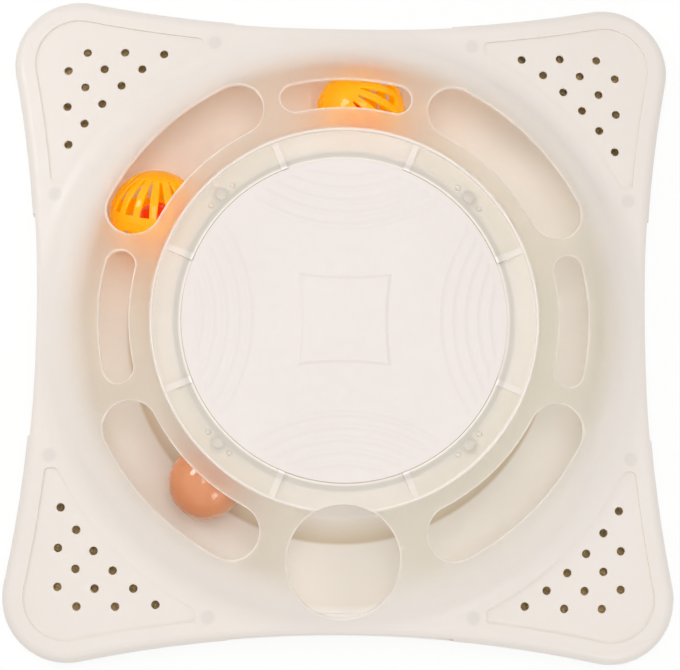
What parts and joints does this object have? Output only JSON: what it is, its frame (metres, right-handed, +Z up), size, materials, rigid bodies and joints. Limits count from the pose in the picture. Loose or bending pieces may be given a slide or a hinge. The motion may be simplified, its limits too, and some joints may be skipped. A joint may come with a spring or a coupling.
{
  "type": "cat ball track toy",
  "caption": "Square pet toy with hollow sides: a translucent domed cover with paw slots over a ring track of loose balls, a lift-out centre plate and perforated catnip corners.",
  "frame": {"origin": "centre of the toy's plan, on the plane of its feet", "axes": "+Z up; -Y is the front, the side with the round ball hole; +X to the right"},
  "size_m": [0.3, 0.3, 0.0492],
  "materials": {
    "tray_plastic": "milky translucent polypropylene, satin",
    "cover_plastic": "milky translucent polypropylene, satin",
    "plate_plastic": "opaque white, fine matt",
    "catnip": "pressed dried leaf",
    "foot_rubber": "soft grey",
    "lattice_plastic": "translucent orange, glossy",
    "bell_lacquer": "red lacquer",
    "pea_steel": "plain",
    "peach_plastic": "glossy peach",
    "bead_plastic": "plain white"
  },
  "bodies": {
    "housing": {"base_tray": "tray_plastic", "track_cover": "cover_plastic", "catnip_pad_front_left": "catnip", "catnip_pad_front_right": "catnip", "catnip_pad_back_right": "catnip", "catnip_pad_back_left": "catnip", "foot_front_left": "foot_rubber", "foot_front_right": "foot_rubber", "foot_back_right": "foot_rubber", "foot_back_left": "foot_rubber"},
    "plate": {"centre_plate": "plate_plastic"},
    "ball_1_bell": {"ball_1_bell_upper": "bell_lacquer", "ball_1_bell_lower": "bell_lacquer", "ball_1_bell_pea": "pea_steel"},
    "ball_1_shell": {"ball_1_shell_upper": "lattice_plastic", "ball_1_shell_lower": "lattice_plastic"},
    "ball_2_bell": {"ball_2_bell_upper": "bell_lacquer", "ball_2_bell_lower": "bell_lacquer", "ball_2_bell_pea": "pea_steel"},
    "ball_2_shell": {"ball_2_shell_upper": "lattice_plastic", "ball_2_shell_lower": "lattice_plastic"},
    "ball_3_bead": {"ball_3_rattle_bead": "bead_plastic"},
    "ball_3_shell": {"ball_3_shell_upper": "peach_plastic", "ball_3_shell_lower": "peach_plastic"}
  },
  "joints": [
    {"name": "plate_lift", "type": "slide", "parent": "housing", "child": "plate", "axis": [0, 0, 1], "range_m": [0, 0.03]},
    {"name": "ball_1_orbit", "type": "hinge", "parent": "housing", "child": "ball_1_bell", "pos_m": [0, 0, 0.0242], "axis": [0, 0, 1], "continuous": true},
    {"name": "ball_1_roll", "type": "hinge", "parent": "ball_1_bell", "child": "ball_1_shell", "pos_m": [0.00761, 0.0967, 0.0242], "axis": [0.0785, 0.9969, 0], "continuous": true},
    {"name": "ball_2_orbit", "type": "hinge", "parent": "ball_1_bell", "child": "ball_2_bell", "pos_m": [0, 0, 0.0242], "axis": [0, 0, 1], "range_deg": [-38, 27]},
    {"name": "ball_2_roll", "type": "hinge", "parent": "ball_2_bell", "child": "ball_2_shell", "pos_m": [-0.084, 0.0485, 0.0242], "axis": [-0.866, 0.5, 0], "continuous": true},
    {"name": "ball_3_orbit", "type": "hinge", "parent": "ball_1_bell", "child": "ball_3_bead", "pos_m": [0, 0, 0.02], "axis": [0, 0, 1], "range_deg": [-28, 192]},
    {"name": "ball_3_roll", "type": "hinge", "parent": "ball_3_bead", "child": "ball_3_shell", "pos_m": [-0.06032, -0.07013, 0.02], "axis": [-0.6521, -0.7581, 0], "continuous": true}
  ]
}
